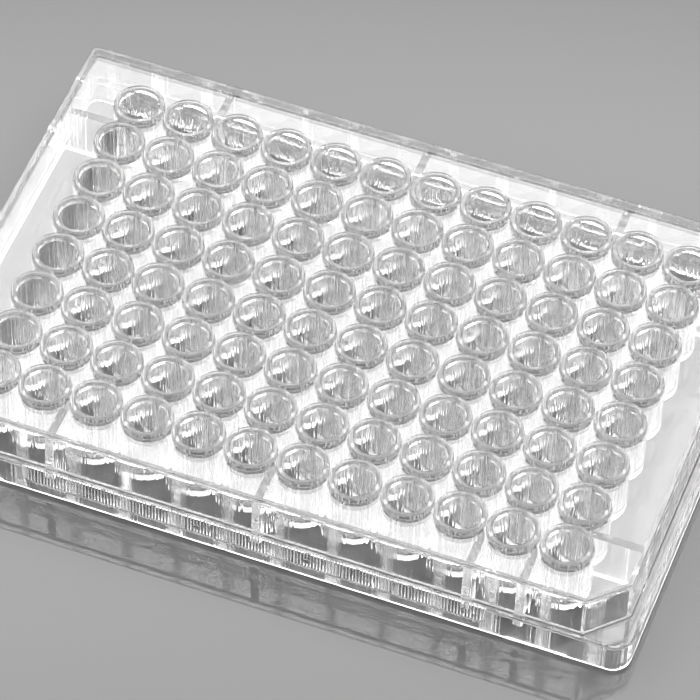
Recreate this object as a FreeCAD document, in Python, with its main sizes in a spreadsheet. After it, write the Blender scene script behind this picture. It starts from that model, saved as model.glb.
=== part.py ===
import FreeCAD, Part
import math
import os
import Sketcher

# Well plate: one clear injection-moulded piece with 12 x 8 open wells.
# Millimetres, +Z up, origin at the centre of the underside.
# +X runs along the 12 columns and -Y is the front, where the cut-off corner is.

SIZES = [
    ("plate_length", 127.76, "footprint along X"),
    ("plate_width", 85.48, "footprint along Y"),
    ("plate_height", 14.35, "table to the tops of the rims"),
    ("base_corner", 3.18, "corner radius of the skirt"),
    ("base_bevel", 0.5, "bevel round the foot of the skirt"),
    ("skirt_height", 6.1, "table to the ledge"),
    ("skirt_wall", 1.3, "thickness of the skirt"),
    ("ledge_thickness", 0.8, "thickness of the ledge"),
    ("ledge_side", 1.37, "ledge width along the long sides"),
    ("ledge_end", 1.9, "ledge width along the short sides"),
    ("ledge_round", 0.3, "rounded outer edge of the ledge"),
    ("wall_foot_round", 0.5, "rounded inner corner between the ledge and the upper wall"),
    ("body_corner", 1.3, "corner radius of the upper body"),
    ("body_wall", 1.2, "thickness of the upper wall"),
    ("notch_leg", 6.0, "length that the cut corner takes off each side"),
    ("border_width", 0.8, "raised border round the deck"),
    ("border_round", 0.25, "rounded outer edge of the border"),
    ("rim_height", 1.0, "deck to the tops of the rims and border"),
    ("deck_thickness", 0.8, "thickness of the deck"),
    ("columns", 12, "wells along X"),
    ("rows", 8, "wells along Y"),
    ("well_pitch", 9.0, "distance between neighbouring well axes"),
    ("well_diameter", 6.6, "bore of a well"),
    ("rim_diameter", 8.66, "outside of a rim"),
    ("tube_diameter", 9.06, "outside of a well under the deck"),
    ("well_underside", 3.0, "table to the underside of a well"),
    ("floor_thickness", 1.3, "thickness of a well's floor"),
    ("web_thickness", 1.4, "webs between the wall and the wells"),
    ("side_web_step", 4, "wells between two webs of a long side"),
    ("end_web_row", 3, "pitches from the middle to an end web"),
    ("corner_web_column", 5, "pitches from the middle to the web at the cut corner"),
    ("panel_length", 80.0, "recessed panel of a long side"),
    ("end_panel_length", 73.0, "recessed panel of a short side"),
    ("panel_depth", 0.33, "depth of the recessed panels"),
    ("panel_foot", 2.4, "table to the recessed panels"),
    ("panel_corner", 1.2, "lower corner radius of the panels"),
    ("pip_spacing", 19.0, "between the two round pips on the front panel"),
    ("pip_height", 3.9, "table to the middle of a pip"),
    ("pip_diameter", 1.3, "diameter of a pip"),
    ("pip_proud", 0.15, "how far a pip stands out of its panel"),
    ("foot_relief_near", 43.6, "middle to the near end of a foot relief"),
    ("foot_relief_far", 53.9, "middle to the far end of a foot relief"),
    ("foot_relief_height", 0.3, "height of a foot relief"),
]

# Heights and places closer than this count as the same.
NEAR = 1e-4

doc = FreeCAD.newDocument("well_plate")
sheet = doc.addObject("Spreadsheet::Sheet", "sizes")
for line, (alias, value, meaning) in enumerate(SIZES, start=1):
    sheet.set(f"A{line}", meaning)
    sheet.set(f"B{line}", str(value))
    sheet.setAlias(f"B{line}", alias)
doc.recompute()

body = doc.addObject("PartDesign::Body", "well_plate")
body.Label = "well_plate"


def origin_feature(role):
    """The body's own origin plane or axis with this role."""
    return next(item for item in body.Origin.OriginFeatures if item.Role == role)


def value_of(expression):
    """The number that a formula of the sheet's names gives now."""
    return sheet.evalExpression(expression.replace("sizes.", ""))


def new_sketch(name, role, height="0"):
    """An empty sketch on one of the body's planes, moved out along its normal."""
    sketch = body.newObject("Sketcher::SketchObject", name)
    sketch.AttachmentSupport = [(origin_feature(role), "")]
    sketch.MapMode = "FlatFace"
    sketch.setExpression("AttachmentOffset.Base.z", height)
    return sketch


def size(sketch, name, kind, places, formula):
    """A named dimension of a sketch, bound to a formula of the sheet's names."""
    index = sketch.addConstraint(Sketcher.Constraint(kind, *places, value_of(formula)))
    sketch.renameConstraint(index, name)
    sketch.setExpression(f"Constraints.{name}", formula)


def line_between(sketch, start, end):
    """A straight line of a sketch, and its number."""
    return sketch.addGeometry(Part.LineSegment(FreeCAD.Vector(*start), FreeCAD.Vector(*end)))


def corner_arc(sketch, centre, radius, start_angle):
    """A quarter circle that starts at this angle in degrees, and its number."""
    circle = Part.Circle(FreeCAD.Vector(*centre), FreeCAD.Vector(0, 0, 1), radius)
    start = math.radians(start_angle)
    return sketch.addGeometry(Part.ArcOfCircle(circle, start, start + math.pi / 2))


def rounded_rectangle(sketch, length, width, corner):
    """A rectangle about the sketch's origin with four equal round corners."""
    x = value_of(length) / 2
    y = value_of(width) / 2
    radius = value_of(corner)
    front = line_between(sketch, (radius - x, -y), (x - radius, -y))
    right = line_between(sketch, (x, radius - y), (x, y - radius))
    back = line_between(sketch, (x - radius, y), (radius - x, y))
    left = line_between(sketch, (-x, y - radius), (-x, radius - y))
    arcs = [
        corner_arc(sketch, (x - radius, radius - y), radius, 270),
        corner_arc(sketch, (x - radius, y - radius), radius, 0),
        corner_arc(sketch, (radius - x, y - radius), radius, 90),
        corner_arc(sketch, (radius - x, radius - y), radius, 180),
    ]
    sides = [front, right, back, left]
    for number, arc in enumerate(arcs):
        sketch.addConstraint(Sketcher.Constraint("Tangent", sides[number], 2, arc, 1))
        sketch.addConstraint(Sketcher.Constraint("Tangent", arc, 2, sides[(number + 1) % 4], 1))
    for side in (front, back):
        sketch.addConstraint(Sketcher.Constraint("Horizontal", side))
    for side in (right, left):
        sketch.addConstraint(Sketcher.Constraint("Vertical", side))
    for arc in arcs[1:]:
        sketch.addConstraint(Sketcher.Constraint("Equal", arcs[0], arc))
    sketch.addConstraint(Sketcher.Constraint("Symmetric", arcs[0], 3, arcs[2], 3, -1, 1))
    size(sketch, "Corner", "Radius", (arcs[0],), corner)
    size(sketch, "Length", "DistanceX", (left, 1, right, 1), length)
    size(sketch, "Width", "DistanceY", (front, 1, back, 1), width)


def cut_corner_outline(sketch, inset, corner):
    """The upper body's outline, moved in by inset all round.

    The front right corner is cut off at 45 degrees and the other three are round.
    """
    length = f"sizes.plate_length - 2 * (sizes.ledge_end + {inset})"
    width = f"sizes.plate_width - 2 * (sizes.ledge_side + {inset})"
    leg = f"sizes.notch_leg - {inset} * (2 - sqrt(2))"
    x = value_of(length) / 2
    y = value_of(width) / 2
    cut = value_of(leg)
    radius = value_of(corner)
    front = line_between(sketch, (radius - x, -y), (x - cut, -y))
    slope = line_between(sketch, (x - cut, -y), (x, cut - y))
    right = line_between(sketch, (x, cut - y), (x, y - radius))
    back = line_between(sketch, (x - radius, y), (radius - x, y))
    left = line_between(sketch, (-x, y - radius), (-x, radius - y))
    arcs = [
        corner_arc(sketch, (x - radius, y - radius), radius, 0),
        corner_arc(sketch, (radius - x, y - radius), radius, 90),
        corner_arc(sketch, (radius - x, radius - y), radius, 180),
    ]
    for before, arc, after in zip((right, back, left), arcs, (back, left, front)):
        sketch.addConstraint(Sketcher.Constraint("Tangent", before, 2, arc, 1))
        sketch.addConstraint(Sketcher.Constraint("Tangent", arc, 2, after, 1))
    sketch.addConstraint(Sketcher.Constraint("Coincident", front, 2, slope, 1))
    sketch.addConstraint(Sketcher.Constraint("Coincident", slope, 2, right, 1))
    for side in (front, back):
        sketch.addConstraint(Sketcher.Constraint("Horizontal", side))
    for side in (right, left):
        sketch.addConstraint(Sketcher.Constraint("Vertical", side))
    for arc in arcs[1:]:
        sketch.addConstraint(Sketcher.Constraint("Equal", arcs[0], arc))
    size(sketch, "Corner", "Radius", (arcs[0],), corner)
    size(sketch, "Length", "DistanceX", (left, 1, right, 1), length)
    size(sketch, "Width", "DistanceY", (front, 1, back, 1), width)
    size(sketch, "LegX", "DistanceX", (slope, 1, slope, 2), leg)
    size(sketch, "LegY", "DistanceY", (slope, 1, slope, 2), leg)
    size(sketch, "Left", "DistanceX", (left, 1, -1, 1), f"({length}) / 2")
    size(sketch, "Front", "DistanceY", (front, 1, -1, 1), f"({width}) / 2")


def rectangle(sketch, left, right, bottom, top):
    """A rectangle given by the formulas of its four sides."""
    x0, x1, y0, y1 = (value_of(formula) for formula in (left, right, bottom, top))
    below = line_between(sketch, (x0, y0), (x1, y0))
    after = line_between(sketch, (x1, y0), (x1, y1))
    above = line_between(sketch, (x1, y1), (x0, y1))
    before = line_between(sketch, (x0, y1), (x0, y0))
    sides = (below, after, above, before)
    for number, side in enumerate(sides):
        sketch.addConstraint(Sketcher.Constraint("Coincident", side, 2, sides[(number + 1) % 4], 1))
    for side in (below, above):
        sketch.addConstraint(Sketcher.Constraint("Horizontal", side))
    for side in (after, before):
        sketch.addConstraint(Sketcher.Constraint("Vertical", side))
    size(sketch, "Left", "DistanceX", (-1, 1, below, 1), left)
    size(sketch, "Right", "DistanceX", (-1, 1, below, 2), right)
    size(sketch, "Bottom", "DistanceY", (-1, 1, below, 1), bottom)
    size(sketch, "Top", "DistanceY", (-1, 1, above, 1), top)


def extrude(kind, name, sketch, length):
    """A pad or pocket of a sketch, with its length bound to a formula."""
    feature = body.newObject(f"PartDesign::{kind}", name)
    feature.Profile = sketch
    feature.setExpression("Length", length)
    sketch.Visibility = False
    return feature


def repeat(name, originals, steps):
    """A repeat of features of the body by patterns and mirrors, one after another."""
    grid = body.newObject("PartDesign::MultiTransform", name)
    grid.Originals = originals
    grid.Transformations = steps
    body.Tip = grid
    return grid


def row_pattern(name, axis, count, spacing):
    """A linear pattern along one of the body's axes, for use in a repeat."""
    pattern = doc.addObject("PartDesign::LinearPattern", name)
    pattern.Direction = (origin_feature(axis), [""])
    pattern.setExpression("Occurrences", count)
    pattern.setExpression("Length", f"({count} - 1) * {spacing}")
    return pattern


def mirror(name, role):
    """A mirror about one of the body's planes, for use in a repeat."""
    mirrored = doc.addObject("PartDesign::Mirrored", name)
    mirrored.MirrorPlane = (origin_feature(role), [""])
    return mirrored


def edges_at(shape, height, outline=None):
    """Names of the horizontal edges at this height, all or only those on an outline."""
    reach = (outline or shape).BoundBox
    reach.enlarge(NEAR)
    names = []
    for number, edge in enumerate(shape.Edges, start=1):
        flat = abs(edge.BoundBox.ZMin - height) < NEAR and abs(edge.BoundBox.ZMax - height) < NEAR
        middle = edge.valueAt((edge.FirstParameter + edge.LastParameter) / 2)
        middle.z = reach.ZMin
        if flat and reach.isInside(middle):
            names.append(f"Edge{number}")
    return names


def edge_feature(kind, name, base, edges, amount, formula):
    """A fillet or chamfer of some edges of a feature, bound to a formula."""
    feature = body.newObject(f"PartDesign::{kind}", name)
    feature.Base = (base, edges)
    feature.setExpression(amount, formula)
    return feature


# Skirt: the full footprint up to the ledge.
base_sketch = new_sketch("base_outline", "XY_Plane")
rounded_rectangle(base_sketch, "sizes.plate_length", "sizes.plate_width", "sizes.base_corner")
skirt = extrude("Pad", "skirt", base_sketch, "sizes.skirt_height")
doc.recompute()

foot_edges = edges_at(skirt.Shape, 0)
foot_bevel = edge_feature("Chamfer", "foot_bevel", skirt, foot_edges, "Size", "sizes.base_bevel")
doc.recompute()
ledge_edges = edges_at(foot_bevel.Shape, value_of("sizes.skirt_height"))
ledge_round = edge_feature("Fillet", "ledge_edge", foot_bevel, ledge_edges, "Radius", "sizes.ledge_round")

# Upper body: stands on the skirt, with its front right corner cut off.
body_sketch = new_sketch("body_outline", "XY_Plane", "sizes.ledge_round")
cut_corner_outline(body_sketch, "0", "sizes.body_corner")
upper_body = extrude("Pad", "upper_body", body_sketch, "sizes.plate_height - sizes.ledge_round")
doc.recompute()
border_edges = edges_at(upper_body.Shape, value_of("sizes.plate_height"))
border_edge = edge_feature("Fillet", "border_edge", upper_body, border_edges, "Radius", "sizes.border_round")
doc.recompute()
inner_edges = edges_at(border_edge.Shape, value_of("sizes.skirt_height"), body_sketch.Shape)
edge_feature("Fillet", "wall_foot", border_edge, inner_edges, "Radius", "sizes.wall_foot_round")

# Deck: sunk inside the raised border.
deck_sketch = new_sketch("deck_outline", "XY_Plane", "sizes.plate_height")
cut_corner_outline(deck_sketch, "sizes.border_width", "sizes.body_corner - sizes.border_width")
deck_recess = extrude("Pocket", "deck_recess", deck_sketch, "sizes.rim_height")

# Cavity: open below, wide inside the skirt and narrower inside the upper wall.
UPPER_CAVITY_TOP = "(sizes.plate_height - sizes.rim_height - sizes.deck_thickness)"
skirt_cavity_sketch = new_sketch("skirt_cavity_outline", "XY_Plane")
rounded_rectangle(
    skirt_cavity_sketch,
    "sizes.plate_length - 2 * sizes.skirt_wall",
    "sizes.plate_width - 2 * sizes.skirt_wall",
    "sizes.base_corner - sizes.skirt_wall",
)
skirt_cavity = extrude(
    "Pocket", "skirt_cavity", skirt_cavity_sketch, "sizes.skirt_height - sizes.ledge_thickness"
)
skirt_cavity.Reversed = True
cavity_sketch = new_sketch("upper_cavity_outline", "XY_Plane")
cut_corner_outline(cavity_sketch, "sizes.body_wall", "sizes.body_corner / 2")
upper_cavity = extrude("Pocket", "upper_cavity", cavity_sketch, UPPER_CAVITY_TOP)
upper_cavity.Reversed = True

# Recessed panels on the four sides of the skirt, open at the ledge.


def panel_outline(name, role, face, length):
    """A panel seen from outside: a rectangle with its two lower corners rounded."""
    sketch = new_sketch(name, role, face)
    half = value_of(length) / 2
    foot = value_of("sizes.panel_foot")
    top = value_of("sizes.skirt_height")
    radius = value_of("sizes.panel_corner")
    below = line_between(sketch, (radius - half, foot), (half - radius, foot))
    after = line_between(sketch, (half, foot + radius), (half, top))
    above = line_between(sketch, (half, top), (-half, top))
    before = line_between(sketch, (-half, top), (-half, foot + radius))
    after_arc = corner_arc(sketch, (half - radius, foot + radius), radius, 270)
    before_arc = corner_arc(sketch, (radius - half, foot + radius), radius, 180)
    sketch.addConstraint(Sketcher.Constraint("Tangent", below, 2, after_arc, 1))
    sketch.addConstraint(Sketcher.Constraint("Tangent", after_arc, 2, after, 1))
    sketch.addConstraint(Sketcher.Constraint("Coincident", after, 2, above, 1))
    sketch.addConstraint(Sketcher.Constraint("Coincident", above, 2, before, 1))
    sketch.addConstraint(Sketcher.Constraint("Tangent", before, 2, before_arc, 1))
    sketch.addConstraint(Sketcher.Constraint("Tangent", before_arc, 2, below, 1))
    for side in (below, above):
        sketch.addConstraint(Sketcher.Constraint("Horizontal", side))
    for side in (after, before):
        sketch.addConstraint(Sketcher.Constraint("Vertical", side))
    sketch.addConstraint(Sketcher.Constraint("Equal", after_arc, before_arc))
    size(sketch, "Corner", "Radius", (after_arc,), "sizes.panel_corner")
    size(sketch, "Length", "DistanceX", (above, 2, above, 1), length)
    size(sketch, "Middle", "DistanceX", (-1, 1, above, 1), f"{length} / 2")
    size(sketch, "Foot", "DistanceY", (-1, 1, below, 1), "sizes.panel_foot")
    size(sketch, "Top", "DistanceY", (-1, 1, above, 1), "sizes.skirt_height")
    return sketch


front_panel = extrude(
    "Pocket",
    "front_panel",
    panel_outline("front_panel_outline", "XZ_Plane", "sizes.plate_width / 2", "sizes.panel_length"),
    "sizes.panel_depth",
)
end_panel = extrude(
    "Pocket",
    "end_panel",
    panel_outline("end_panel_outline", "YZ_Plane", "sizes.plate_length / 2", "sizes.end_panel_length"),
    "sizes.panel_depth",
)
front_and_back = mirror("front_to_back", "XZ_Plane")
left_and_right = mirror("right_to_left", "YZ_Plane")
repeat("panels", [front_panel, end_panel], [front_and_back, left_and_right])

# Pips: two small round ones on the front panel, one on each side of the middle.
pip_sketch = new_sketch("pip_outline", "XZ_Plane", "sizes.plate_width / 2 - sizes.panel_depth")
pip_middle = FreeCAD.Vector(value_of("sizes.pip_spacing") / 2, value_of("sizes.pip_height"))
pip_radius = value_of("sizes.pip_diameter") / 2
pip_circle = pip_sketch.addGeometry(Part.Circle(pip_middle, FreeCAD.Vector(0, 0, 1), pip_radius))
size(pip_sketch, "Diameter", "Diameter", (pip_circle,), "sizes.pip_diameter")
size(pip_sketch, "Side", "DistanceX", (-1, 1, pip_circle, 3), "sizes.pip_spacing / 2")
size(pip_sketch, "Height", "DistanceY", (-1, 1, pip_circle, 3), "sizes.pip_height")
pip = extrude("Pad", "pip", pip_sketch, "sizes.pip_proud")
repeat("pips", [pip], [mirror("pip_right_to_left", "YZ_Plane")])

# Reliefs in the foot of the skirt, right through the two long sides.
relief_sketch = new_sketch("foot_relief_outline", "XZ_Plane")
rectangle(
    relief_sketch, "sizes.foot_relief_near", "sizes.foot_relief_far", "0", "sizes.foot_relief_height"
)
foot_relief = extrude("Pocket", "foot_relief", relief_sketch, "sizes.plate_width")
foot_relief.Midplane = True
repeat("foot_reliefs", [foot_relief], [mirror("relief_right_to_left", "YZ_Plane")])

# Webs: thin walls from the upper wall to the gaps between two wells.
FIRST_COLUMN = "(sizes.columns - 1) / 2 * sizes.well_pitch"
FIRST_ROW = "(sizes.rows - 1) / 2 * sizes.well_pitch"
HALF_WEB = "sizes.web_thickness / 2"
WEB_HEIGHT = f"{UPPER_CAVITY_TOP} + sizes.deck_thickness / 2 - sizes.well_underside"
SIDE_WALL = "(sizes.plate_width / 2 - sizes.ledge_side - sizes.body_wall / 2)"
END_WALL = "(sizes.plate_length / 2 - sizes.ledge_end - sizes.body_wall / 2)"


def web(name, middle, inner, outer, along_x):
    """A web between an inner and an outer line, upright on the wells' underside level."""
    sketch = new_sketch(f"{name}_outline", "XY_Plane", "sizes.well_underside")
    across = (f"{middle} - {HALF_WEB}", f"{middle} + {HALF_WEB}")
    if along_x:
        rectangle(sketch, inner, outer, *across)
    else:
        rectangle(sketch, *across, inner, outer)
    return extrude("Pad", name, sketch, WEB_HEIGHT)


side_web = web("side_web", "0", FIRST_ROW, SIDE_WALL, False)
web_steps = row_pattern("side_web_steps", "X_Axis", "2", "sizes.side_web_step * sizes.well_pitch")
repeat(
    "side_webs",
    [side_web],
    [web_steps, mirror("webs_right_to_left", "YZ_Plane"), mirror("webs_back_to_front", "XZ_Plane")],
)
end_web = web("end_web", "sizes.end_web_row * sizes.well_pitch", FIRST_COLUMN, END_WALL, True)
repeat(
    "end_webs",
    [end_web],
    [mirror("end_webs_right_to_left", "YZ_Plane"), mirror("end_webs_back_to_front", "XZ_Plane")],
)
corner_web = web(
    "corner_web", "sizes.corner_web_column * sizes.well_pitch", f"-{SIDE_WALL}", f"-({FIRST_ROW})", False
)

# Wells: solid posts of revolution, with a wide tube below the deck and a rim above it.


def well_profile(name, corners):
    """A closed outline on the first well's axis, from its formulas of radius and height."""
    sketch = new_sketch(name, "XZ_Plane", FIRST_ROW)
    sketch.setExpression("AttachmentOffset.Base.x", f"-({FIRST_COLUMN})")
    places = [(value_of(radius), value_of(height)) for radius, height in corners]
    sides = []
    for number, place in enumerate(places):
        sides.append(line_between(sketch, place, places[(number + 1) % len(places)]))
    for number, side in enumerate(sides):
        following = sides[(number + 1) % len(sides)]
        sketch.addConstraint(Sketcher.Constraint("Coincident", side, 2, following, 1))
    for number, (radius, height) in enumerate(corners):
        if radius == "0":
            sketch.addConstraint(Sketcher.Constraint("PointOnObject", sides[number], 1, -2))
        else:
            size(sketch, f"Radius{number}", "DistanceX", (-1, 1, sides[number], 1), radius)
        size(sketch, f"Height{number}", "DistanceY", (-1, 1, sides[number], 1), height)
    return sketch


def turned(kind, name, sketch):
    """A full turn of a profile about its own upright axis."""
    feature = body.newObject(f"PartDesign::{kind}", name)
    feature.Profile = sketch
    feature.ReferenceAxis = (sketch, ["V_Axis"])
    feature.Angle = 360
    sketch.Visibility = False
    return feature


MID_DECK = f"{UPPER_CAVITY_TOP} + sizes.deck_thickness / 2"
well_post = turned(
    "Revolution",
    "well_post",
    well_profile(
        "well_post_profile",
        [
            ("0", "sizes.well_underside"),
            ("sizes.tube_diameter / 2", "sizes.well_underside"),
            ("sizes.tube_diameter / 2", MID_DECK),
            ("sizes.rim_diameter / 2", MID_DECK),
            ("sizes.rim_diameter / 2", "sizes.plate_height"),
            ("0", "sizes.plate_height"),
        ],
    ),
)
well_bore = turned(
    "Groove",
    "well_bore",
    well_profile(
        "well_bore_profile",
        [
            ("0", "sizes.well_underside + sizes.floor_thickness"),
            ("sizes.well_diameter / 2", "sizes.well_underside + sizes.floor_thickness"),
            ("sizes.well_diameter / 2", "sizes.plate_height"),
            ("0", "sizes.plate_height"),
        ],
    ),
)
repeat(
    "well_grid",
    [well_post, well_bore],
    [
        row_pattern("well_columns", "X_Axis", "sizes.columns", "sizes.well_pitch"),
        row_pattern("well_rows", "Y_Axis", "sizes.rows", "sizes.well_pitch"),
    ],
)

doc.recompute()
for item in doc.Objects:
    if "Invalid" in item.State or "Error" in item.State:
        raise RuntimeError(f"{item.Name} failed: {item.State}")
if body.Shape.isNull() or not body.Shape.isValid():
    raise RuntimeError("well_plate has no valid shape")
os.makedirs("parts", exist_ok=True)
body.Shape.exportStep(f"parts/{body.Label}.step")
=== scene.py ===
import math

import bpy
import numpy as np
from mathutils import Matrix, Vector


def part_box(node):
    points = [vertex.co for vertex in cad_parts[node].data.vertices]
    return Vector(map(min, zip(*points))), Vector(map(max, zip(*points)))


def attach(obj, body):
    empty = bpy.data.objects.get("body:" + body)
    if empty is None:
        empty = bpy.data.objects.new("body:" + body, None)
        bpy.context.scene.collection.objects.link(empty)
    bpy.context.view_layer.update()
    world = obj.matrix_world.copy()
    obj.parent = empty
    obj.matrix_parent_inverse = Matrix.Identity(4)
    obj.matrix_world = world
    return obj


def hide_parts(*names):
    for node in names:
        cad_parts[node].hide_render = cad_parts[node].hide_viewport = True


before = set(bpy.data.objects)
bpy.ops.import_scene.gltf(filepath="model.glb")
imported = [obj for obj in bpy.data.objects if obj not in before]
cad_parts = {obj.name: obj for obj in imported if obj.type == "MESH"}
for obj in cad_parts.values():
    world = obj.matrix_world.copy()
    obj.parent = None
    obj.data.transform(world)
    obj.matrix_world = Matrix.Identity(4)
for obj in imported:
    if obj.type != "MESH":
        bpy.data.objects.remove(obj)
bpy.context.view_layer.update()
scene = bpy.context.scene
scene.view_settings.view_transform = "Standard"

# ---- Plate: skirt and upper body -----------------------------------------------------------
# The whole plate is one moulding in clear polystyrene. The skirt fills the footprint up to a
# narrow ledge. The upper body stands on it, has the front right corner cut off, and ends in a
# thin raised border round the sunken deck. Both are hollow and open below.

MM = 0.001
low, high = (np.array(corner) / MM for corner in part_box("well_plate"))
plate_length, plate_width, plate_height = high - low
corner_steps = 10

skirt_height, skirt_wall, base_corner, base_bevel = 6.1, 1.3, 3.18, 0.5
ledge_side, ledge_end, ledge_thickness, ledge_round = 1.37, 1.9, 0.8, 0.3
body_wall, body_corner, notch_leg, foot_round = 1.2, 1.3, 6.0, 0.5
border_width, border_round, rim_height, deck_thickness = 0.8, 0.25, 1.0, 0.8
deck_top = plate_height - rim_height
deck_underside = deck_top - deck_thickness
past_face = 1.0  # how far a cutting shape reaches past the face that it opens


def outline(inset_x, inset_y, radius, cut=0.0):
    """Points round a rectangle that lies inside the footprint by the two insets.

    Each corner is a quarter circle of the radius. With a cut, the front right corner is
    the straight line that takes that length off both sides.
    """
    half_x = plate_length / 2 - inset_x
    half_y = plate_width / 2 - inset_y
    turn = np.linspace(0, math.pi / 2, corner_steps + 1)
    corners = []
    for number, (side_x, side_y) in enumerate(((1, -1), (1, 1), (-1, 1), (-1, -1))):
        if number == 0 and cut > 0:
            share = np.linspace(0, 1, corner_steps + 1)
            corners.append(np.column_stack([half_x - cut * (1 - share), -half_y + cut * share]))
            continue
        angle = turn + (number - 1) * math.pi / 2
        centre = np.array([side_x * (half_x - radius), side_y * (half_y - radius)])
        corners.append(centre + radius * np.column_stack([np.cos(angle), np.sin(angle)]))
    return np.concatenate(corners)


def body_outline(inset, radius):
    """The upper body's outline moved in by an equal inset, with its cut corner."""
    cut = notch_leg - inset * (2 - math.sqrt(2))
    return outline(ledge_end + inset, ledge_side + inset, radius, cut)


def level(points, height):
    """A ring of points at one height."""
    return np.column_stack([points, np.full(len(points), height)])


def round_edge(radius, steps=4):
    """Insets and drops of a rounded upper edge, from the side face up to the top face.

    The inset is the radius times one minus the cosine of an angle that goes to a right
    angle, and the drop is the radius times one minus its sine. Taken the other way round,
    the pairs are the rises and insets of a rounded lower edge.
    """
    angle = np.linspace(0, math.pi / 2, steps + 1)
    return zip(radius * (1 - np.cos(angle)), radius * (1 - np.sin(angle)))


def new_piece(name, points, faces):
    """An object at the origin from points in millimetres and faces."""
    mesh = bpy.data.meshes.new(name)
    mesh.from_pydata((points * MM).tolist(), [], faces)
    piece = bpy.data.objects.new(name, mesh)
    scene.collection.objects.link(piece)
    return piece


def stack_faces(levels, count):
    """Faces of one closed stack of rings: quads from each ring to the next, and both ends."""
    here = np.arange(count)
    after = (here + 1) % count
    below = (np.arange(levels - 1) * count)[:, None]
    sides = [below + here, below + after, below + count + after, below + count + here]
    top = here + (levels - 1) * count
    return [*np.stack(sides, axis=-1).reshape(-1, 4).tolist(), here[::-1].tolist(), top.tolist()]


def solid(name, rings):
    """A closed mesh through level rings from the lowest up, with a flat face at each end.

    rings has one row of points for each level, all with the same number of points.
    """
    return new_piece(name, rings.reshape(-1, 3), stack_faces(*rings.shape[:2]))


def combine(piece, tool, operation):
    """Joins or cuts a closed piece with another closed piece, which is used up."""
    step = piece.modifiers.new("combine", "BOOLEAN")
    step.object = tool
    step.operation = operation
    step.solver = "MANIFOLD"
    depsgraph = bpy.context.evaluated_depsgraph_get()
    result = bpy.data.meshes.new_from_object(piece.evaluated_get(depsgraph))
    piece.modifiers.clear()
    piece.data = result
    bpy.data.objects.remove(tool)


skirt_rings = [level(outline(base_bevel, base_bevel, base_corner - base_bevel), 0.0)]
skirt_rings.append(level(outline(0, 0, base_corner), base_bevel))
for inset, drop in round_edge(ledge_round):
    skirt_rings.append(level(outline(inset, inset, base_corner - inset), skirt_height - drop))
plate = solid("well_plate_clear", np.array(skirt_rings))

body_rings = [level(body_outline(-foot_round, body_corner + foot_round), skirt_height / 2)]
for rise, flare in round_edge(foot_round):
    body_rings.append(level(body_outline(-flare, body_corner + flare), skirt_height + rise))
for inset, drop in round_edge(border_round):
    body_rings.append(level(body_outline(inset, body_corner - inset), plate_height - drop))
combine(plate, solid("upper_body", np.array(body_rings)), "UNION")

deck_shape = body_outline(border_width, body_corner - border_width)
skirt_shape = outline(skirt_wall, skirt_wall, base_corner - skirt_wall)
body_shape = body_outline(body_wall, body_corner / 2)
hollows = [
    ("deck_recess", deck_shape, deck_top, plate_height + past_face),
    ("skirt_cavity", skirt_shape, -past_face, skirt_height - ledge_thickness),
    ("body_cavity", body_shape, -past_face, deck_underside),
]
for name, shape, foot, top in hollows:
    combine(plate, solid(name, np.array([level(shape, foot), level(shape, top)])), "DIFFERENCE")

# ---- Plate: webs and wells -----------------------------------------------------------------
# Thin webs tie the walls to the gaps between wells. The wells are moulded in one with the deck,
# as posts that touch their neighbours, each with a raised rim and a tapered bore.

columns, rows, well_pitch = 12, 8, 9.0
well_underside, floor_thickness, floor_round = 3.0, 1.3, 0.25
tube_radius, rim_radius, mouth_radius, floor_radius = 4.53, 4.33, 3.4, 3.2
rim_outer_round, rim_inner_round, rim_foot_round, post_round = 0.15, 0.2, 0.15, 0.8
well_round_steps, below_deck = 3, 0.02
web_thickness, side_web_step, end_web_row, corner_web_column = 1.4, 4, 3, 5
well_steps = 44

column_x = (np.arange(columns) - (columns - 1) / 2) * well_pitch
row_y = (np.arange(rows) - (rows - 1) / 2) * well_pitch


def block(name, x_range, y_range, z_range):
    """A plain box between two values of X, Y and Z."""
    (x0, x1), (y0, y1) = x_range, y_range
    ring = np.array([(x0, y0), (x1, y0), (x1, y1), (x0, y1)])
    return solid(name, np.array([level(ring, height) for height in z_range]))


def turned(name, profile, centres):
    """Closed solids of revolution in one piece, one about an upright axis at each centre.

    profile is a row of (radius, height) from the middle of the foot to the middle of the
    top. A point lies at radius times the cosine and sine of its angle from the centre.
    """
    radius, height = np.array(profile).T
    angle = np.linspace(0, 2 * math.pi, well_steps, endpoint=False)
    flat = radius[:, None, None] * np.column_stack([np.cos(angle), np.sin(angle)])
    upright = np.broadcast_to(height[:, None, None], (len(height), well_steps, 1))
    ring = np.concatenate([flat, upright], axis=2)
    places = np.column_stack([centres, np.zeros(len(centres))])
    points = (ring[None] + places[:, None, None]).reshape(-1, 3)
    one = stack_faces(len(height), well_steps)
    shifts = range(0, len(points), len(height) * well_steps)
    faces = [[corner + shift for corner in face] for shift in shifts for face in one]
    return new_piece(name, points, faces)


wall_x = plate_length / 2 - ledge_end - body_wall / 2
wall_y = plate_width / 2 - ledge_side - body_wall / 2
mid_deck = deck_top - deck_thickness / 2
half_web = web_thickness / 2
side_webs = [(step * side_web_step * well_pitch, side) for step in (-1, 0, 1) for side in (-1, 1)]
side_webs.append((corner_web_column * well_pitch, -1))
for web_x, side in side_webs:
    ends = sorted((side * row_y[-1], side * wall_y))
    span = (web_x - half_web, web_x + half_web)
    web = block("side_web", span, ends, (well_underside, mid_deck))
    combine(plate, web, "UNION")
for side in (-1, 1):
    for web_y in (-end_web_row * well_pitch, end_web_row * well_pitch):
        ends = sorted((side * column_x[-1], side * wall_x))
        span = (web_y - half_web, web_y + half_web)
        web = block("end_web", ends, span, (well_underside, mid_deck))
        combine(plate, web, "UNION")

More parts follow.
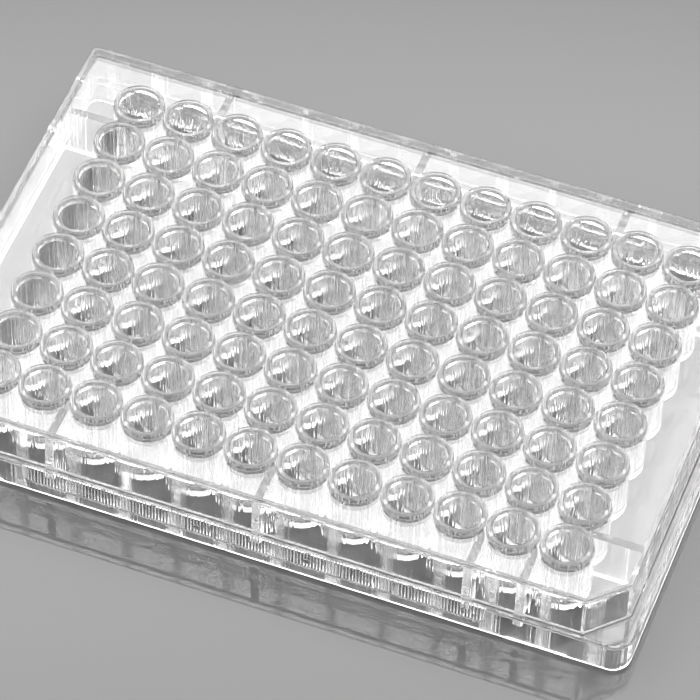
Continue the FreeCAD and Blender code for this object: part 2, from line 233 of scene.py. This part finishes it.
post_profile = []
for rise, inset in round_edge(post_round, well_round_steps):
    post_profile.append((tube_radius - inset, well_underside + rise))
post_profile += [(tube_radius, mid_deck), (rim_radius + rim_foot_round, deck_top - below_deck)]
for rise, flare in list(round_edge(rim_foot_round, well_round_steps))[1:]:
    post_profile.append((rim_radius + flare, deck_top + rise))
for inset, drop in round_edge(rim_outer_round, well_round_steps):
    post_profile.append((rim_radius - inset, plate_height - drop))

floor_height = well_underside + floor_thickness
bore_profile = []
for rise, inset in round_edge(floor_round, well_round_steps):
    bore_profile.append((floor_radius - inset, floor_height + rise))
for inset, drop in round_edge(rim_inner_round, well_round_steps):
    bore_profile.append((mouth_radius + inset, plate_height - drop))
bore_profile.append((mouth_radius + rim_inner_round, plate_height + past_face))

centres = np.stack(np.meshgrid(column_x, row_y), axis=-1).reshape(-1, 2)
square = np.add.outer(np.arange(rows), np.arange(columns)).ravel() % 2
for colour in (0, 1):
    combine(plate, turned("posts", post_profile, centres[square == colour]), "UNION")
combine(plate, turned("bores", bore_profile, centres), "DIFFERENCE")

# ---- Plate: recessed panels with fine upright ribs -----------------------------------------
# The middle of each side of the skirt is sunk a third of a millimetre for grip. Its face is
# ribbed like a file, with ribs about half a millimetre apart, and fades out at rounded ends.

panel_foot, panel_corner, panel_depth = 2.4, 1.2, 0.33
end_panel_length, side_panel_length = 72.8, 80.08
rib_pitch, groove_depth, groove_width = 0.56, 0.2, 0.22


def panel(length, face, turn):
    """A closed block that sinks a panel into a side of the skirt, given its outward turn.

    Along the side, the sunk face lies at its depth, with a V groove at each pitch. Its lower
    edge rises in a quarter circle at both ends.
    """
    middles = (np.arange(round(length / rib_pitch)) + 0.5) * rib_pitch - length / 2
    across = np.array([-groove_width / 2, 0, groove_width / 2])
    along = np.concatenate([[-length / 2], np.add.outer(middles, across).ravel(), [length / 2]])
    deeper = np.concatenate([[0], np.tile([0, groove_depth, 0], len(middles)), [0]])
    past_arc = np.clip(np.abs(along) - (length / 2 - panel_corner), 0, panel_corner)
    foot = panel_foot + panel_corner - np.sqrt(panel_corner**2 - past_arc**2)
    sunk = face - panel_depth - deeper
    outside = np.full_like(along, face + past_face)
    top = np.full_like(along, skirt_height + past_face)
    corners = [(sunk, top), (outside, top), (outside, foot), (sunk, foot)]
    rings = np.stack([np.column_stack([out, along, up]) for out, up in corners], axis=1)
    cosine, sine = math.cos(turn), math.sin(turn)
    return solid("panel", rings @ np.array([[cosine, sine, 0], [-sine, cosine, 0], [0, 0, 1]]))


panel_sides = [(end_panel_length, plate_length / 2), (side_panel_length, plate_width / 2)]
for quarter, (length, face) in enumerate(panel_sides * 2):
    combine(plate, panel(length, face, quarter * math.pi / 2), "DIFFERENCE")

# ---- Plate: ejector pips and foot reliefs --------------------------------------------------
# Two low round pips stand on the front panel. Shallow reliefs under the long sides leave
# the skirt standing on its corners and its middle.

pip_spacing, pip_height, pip_radius, pip_proud, pip_round = 19.0, 3.9, 0.65, 0.15, 0.05
pip_root, pip_steps = 0.5, 24
relief_start, relief_end, relief_height = 43.6, 53.9, 0.3
for side in (-1, 1):
    angle = np.linspace(0, 2 * math.pi, pip_steps, endpoint=False)
    ring = np.column_stack([np.cos(angle), np.sin(angle)])
    discs = [level(ring * pip_radius, reach) for reach in (-pip_root, pip_proud - pip_round)]
    discs.append(level(ring * (pip_radius - pip_round), pip_proud))
    facing_front = np.array(discs) @ np.array([[1, 0, 0], [0, 0, 1], [0, -1, 0]])
    place = np.array([side * pip_spacing / 2, panel_depth - plate_width / 2, pip_height])
    combine(plate, solid("pip", facing_front + place), "UNION")
    span = sorted((side * relief_start, side * relief_end))
    whole_width = (-plate_width, plate_width)
    relief = block("foot_relief", span, whole_width, (-past_face, relief_height))
    combine(plate, relief, "DIFFERENCE")

# The roundings shade smoothly, and the flat faces that they join stay flat.
sharp_angle = math.radians(35)
plate.data.shade_smooth()
plate.data.set_sharp_from_angle(angle=sharp_angle)
even_normals = plate.modifiers.new("even_normals", "WEIGHTED_NORMAL")
even_normals.mode = "FACE_AREA"
even_normals.weight = 100
even_normals.keep_sharp = True
depsgraph = bpy.context.evaluated_depsgraph_get()
mesh = bpy.data.meshes.new_from_object(plate.evaluated_get(depsgraph))
plate.modifiers.clear()
plate.data = mesh
mesh.name = "well_plate_clear"

# ---- Plate: clear polystyrene --------------------------------------------------------------
# Crystal-clear plastic with polished faces. The moulding pins leave fine upright draw lines on
# the walls of the wells, which spread light sideways. Inside the bores they are twice as deep.

draw_scale, draw_depth, draw_seed = 10.0, 0.22, 400.0
draw_reach, bore_reach, outer_share, upright_limit = 4.7, 3.9, 0.5, 0.3

clear = bpy.data.materials.new("clear_plastic")
clear.use_nodes = True
tree = clear.node_tree
shader = tree.nodes["Principled BSDF"]
shader.inputs["Base Color"].default_value = (1, 1, 1, 1)
shader.inputs["Roughness"].default_value = 0.0
shader.inputs["IOR"].default_value = 1.59
shader.inputs["Transmission Weight"].default_value = 1.0


def work_out(tree, kind, operation, *inputs):
    """A math or vector math node with its inputs linked or set. Returns its result."""
    made = tree.nodes.new(kind)
    made.operation = operation
    for socket, value in zip(made.inputs, inputs):
        if isinstance(value, bpy.types.NodeSocket):
            tree.links.new(value, socket)
        else:
            socket.default_value = value
    return made.outputs["Value" if operation in ("LENGTH", "DOT_PRODUCT") else 0]


def vector(operation, *inputs):
    """One step of vector math in the clear plastic."""
    return work_out(clear.node_tree, "ShaderNodeVectorMath", operation, *inputs)


def number(operation, *inputs):
    """One step of plain math in the clear plastic."""
    return work_out(clear.node_tree, "ShaderNodeMath", operation, *inputs)


# Each line is a value of noise that changes with the direction from the well's axis only.
half_pitch = well_pitch * MM / 2
position = tree.nodes.new("ShaderNodeTexCoord").outputs["Object"]
flat = vector("MULTIPLY", position, (1, 1, 0))
moved = vector("ADD", flat, (half_pitch, half_pitch, 0))
from_axis = vector("WRAP", moved, (half_pitch, half_pitch, 1), (-half_pitch, -half_pitch, -1))
axis_place = vector("SUBTRACT", flat, from_axis)
direction = vector("MULTIPLY", vector("NORMALIZE", from_axis), (draw_scale, draw_scale, 0))
seed = vector("MULTIPLY", axis_place, (draw_seed, draw_seed, 0))
facing = tree.nodes.new("ShaderNodeSeparateXYZ")
tree.links.new(tree.nodes.new("ShaderNodeNewGeometry").outputs["True Normal"], facing.inputs[0])
upright = number("LESS_THAN", number("ABSOLUTE", facing.outputs["Z"]), upright_limit)
lines = tree.nodes.new("ShaderNodeTexNoise")
lines.inputs["Scale"].default_value = 1.0
lines.inputs["Detail"].default_value = 1.0
lines.inputs["Roughness"].default_value = 0.5
tree.links.new(vector("ADD", direction, seed), lines.inputs["Vector"])
axis_distance = vector("LENGTH", from_axis)
on_tube = number("MULTIPLY", number("LESS_THAN", axis_distance, draw_reach * MM), outer_share)
on_bore = number("MULTIPLY", number("LESS_THAN", axis_distance, bore_reach * MM), 1 - outer_share)
bump = tree.nodes.new("ShaderNodeBump")
bump.inputs["Distance"].default_value = draw_depth * MM
strength = number("MULTIPLY", number("ADD", on_tube, on_bore), upright)
tree.links.new(strength, bump.inputs["Strength"])
tree.links.new(lines.outputs[0], bump.inputs["Height"])
tree.links.new(bump.outputs["Normal"], shader.inputs["Normal"])

mesh.materials.clear()
mesh.materials.append(clear)
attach(plate, "root")
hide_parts("well_plate")

# ---- Floor ---------------------------------------------------------------------------------
# A plain pale grey table top with a polished face, which mirrors the foot of the plate.

floor_size, floor_gap = 6.0, 0.0002
bpy.ops.mesh.primitive_plane_add(size=floor_size, location=(0, 0, -floor_gap))
floor = bpy.context.object
floor.name = "floor"
floor_material = bpy.data.materials.new("floor")
floor_material.use_nodes = True
floor_shader = floor_material.node_tree.nodes["Principled BSDF"]
floor_shader.inputs["Base Color"].default_value = (0.16, 0.16, 0.16, 1)
floor_shader.inputs["Roughness"].default_value = 0.03
floor.data.materials.append(floor_material)

# ---- Camera --------------------------------------------------------------------------------
# A long lens from above the front right corner.

camera_azimuth, camera_elevation = math.radians(19.014), math.radians(50.338)
camera_roll, camera_distance = math.radians(1.934), 0.80192
camera_target = Vector((0.0013, -0.00084, 0.007))
toward_camera = (math.sin(camera_azimuth), -math.cos(camera_azimuth), math.tan(camera_elevation))
away = Vector(toward_camera).normalized()
camera = bpy.data.objects.new("camera", bpy.data.cameras.new("camera"))
camera.data.lens = 248.075
camera.data.sensor_width = 36
turn = away.to_track_quat("Z", "Y").to_matrix() @ Matrix.Rotation(camera_roll, 3, "Z")
camera.matrix_world = Matrix.Translation(camera_target + away * camera_distance) @ turn.to_4x4()
scene.collection.objects.link(camera)
scene.camera = camera

# ---- Light ---------------------------------------------------------------------------------
# A wide soft panel stands behind the plate, half way up, over an even sky. Its ends come round
# to the front and grow dim, and its upper and lower edges fade out.

sky_light, panel_light = 0.75, 4.2
panel_bearing = math.radians(109)
panel_rise = [math.radians(angle) for angle in (43, 48)]
panel_fall = [math.radians(angle) for angle in (53, 60)]
panel_ends = [math.radians(angle) for angle in (40, 170)]
panel_front = 0.3

world = bpy.data.worlds.new("world")
world.use_nodes = True
scene.world = world


def sky_number(operation, *inputs):
    """One step of plain math in the sky."""
    return work_out(world.node_tree, "ShaderNodeMath", operation, *inputs)


def fade(value, span, before, after):
    """A smooth change from one strength to another, as an angle goes through a span."""
    ramp = world.node_tree.nodes.new("ShaderNodeMapRange")
    ramp.interpolation_type = "SMOOTHSTEP"
    world.node_tree.links.new(value, ramp.inputs["Value"])
    for name, limit in zip(("From Min", "From Max", "To Min", "To Max"), (*span, before, after)):
        ramp.inputs[name].default_value = limit
    return ramp.outputs[0]


view_ray = world.node_tree.nodes.new("ShaderNodeTexCoord").outputs["Generated"]
behind = (math.cos(panel_bearing), math.sin(panel_bearing), 0)
beside = (-math.sin(panel_bearing), math.cos(panel_bearing), 0)
along, across, up = (
    work_out(world.node_tree, "ShaderNodeVectorMath", "DOT_PRODUCT", view_ray, axis)
    for axis in (behind, beside, (0, 0, 1))
)
elevation = sky_number("ARCSINE", up)
bearing = sky_number("ABSOLUTE", sky_number("ARCTAN2", across, along))
band = sky_number("MULTIPLY", fade(elevation, panel_rise, 0, 1), fade(elevation, panel_fall, 1, 0))
strongest = fade(bearing, panel_ends, panel_light, panel_light * panel_front)
panel_glow = sky_number("MULTIPLY", band, strongest)
background = world.node_tree.nodes["Background"]
background.inputs["Color"].default_value = (1, 1, 1, 1)
world.node_tree.links.new(sky_number("ADD", panel_glow, sky_light), background.inputs["Strength"])

# Light crosses many faces of the clear plastic before it leaves it.
most_bounces = 48
scene.cycles.max_bounces = most_bounces
scene.cycles.transmission_bounces = most_bounces
scene.cycles.glossy_bounces = most_bounces
